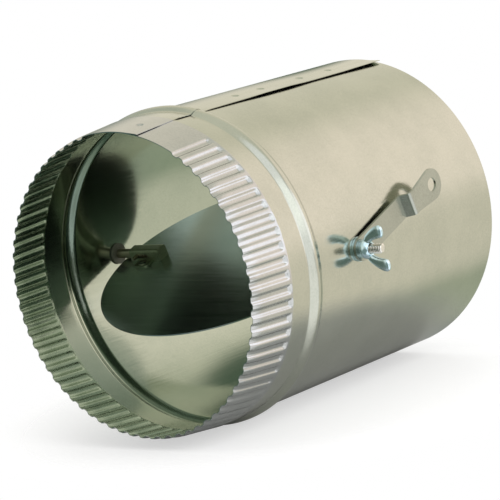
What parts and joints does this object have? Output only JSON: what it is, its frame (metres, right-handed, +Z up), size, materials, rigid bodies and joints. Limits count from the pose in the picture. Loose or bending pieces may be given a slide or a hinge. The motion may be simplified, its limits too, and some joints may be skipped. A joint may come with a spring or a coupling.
{
  "type": "volume control damper",
  "caption": "Round in-line manual duct damper: crimped and beaded sheet casing, blade on a sprung pin and a threaded stud, lever locked by a wing nut.",
  "frame": {"origin": "on the duct's axis at the foot of the stop bead, where the edge of the duct that slides over the crimped end comes to rest", "axes": "+Y along the duct from the crimped end to the plain end, +X along the blade's shaft towards the lever, +Z up"},
  "size_m": [0.2303, 0.258, 0.2092],
  "materials": {
    "galvanised_sheet": "bright galvanised sheet with fine rolling grain",
    "blade_sheet": "galvanised sheet",
    "bracket_steel": "dull plated pressed steel",
    "rivet_steel": "plated steel",
    "pin_steel": "cold drawn rod",
    "spring_steel": "bright spring wire",
    "zinc_hardware": "bright zinc plate",
    "lever_steel": "plated pressed strip",
    "bush_nylon": "natural nylon"
  },
  "bodies": {
    "casing": {"casing": "galvanised_sheet", "regulator_bush": "bush_nylon", "idle_bush": "bush_nylon", "flat_washer": "zinc_hardware"},
    "blade": {"blade": "blade_sheet", "idle_bracket": "bracket_steel", "regulator_bracket": "bracket_steel", "blade_rivets": "rivet_steel", "regulator_stud": "zinc_hardware", "stud_rivet": "rivet_steel", "lever": "lever_steel", "idle_spring": "spring_steel"},
    "idle_pin": {"idle_pin": "pin_steel", "thumb_pin": "pin_steel"},
    "lock_washer": {"lock_washer": "zinc_hardware"},
    "wing_nut": {"wing_nut": "zinc_hardware"}
  },
  "joints": [
    {"name": "blade_turn", "type": "hinge", "parent": "casing", "child": "blade", "pos_m": [0, 0.054, 0], "axis": [1, 0, 0], "range_deg": [-19.5, 70.5]},
    {"name": "pin_retract", "type": "slide", "parent": "blade", "child": "idle_pin", "axis": [1, 0, 0], "range_m": [0, 0.009], "stiffness_N_per_m": 1700, "springref_m": -0.002, "deforming": ["idle_spring"]},
    {"name": "lock_washer_slide", "type": "slide", "parent": "blade", "child": "lock_washer", "axis": [1, 0, 0], "range_m": [0, 0.0025]},
    {"name": "wing_nut_turn", "type": "hinge", "parent": "lock_washer", "child": "wing_nut", "pos_m": [0.106, 0.054, 0], "axis": [1, 0, 0], "range_deg": [0, 720]}
  ],
  "couplings": [
    {"joint": "wing_nut_turn", "follows": "lock_washer_slide", "rad_per_m": 4947.4}
  ]
}
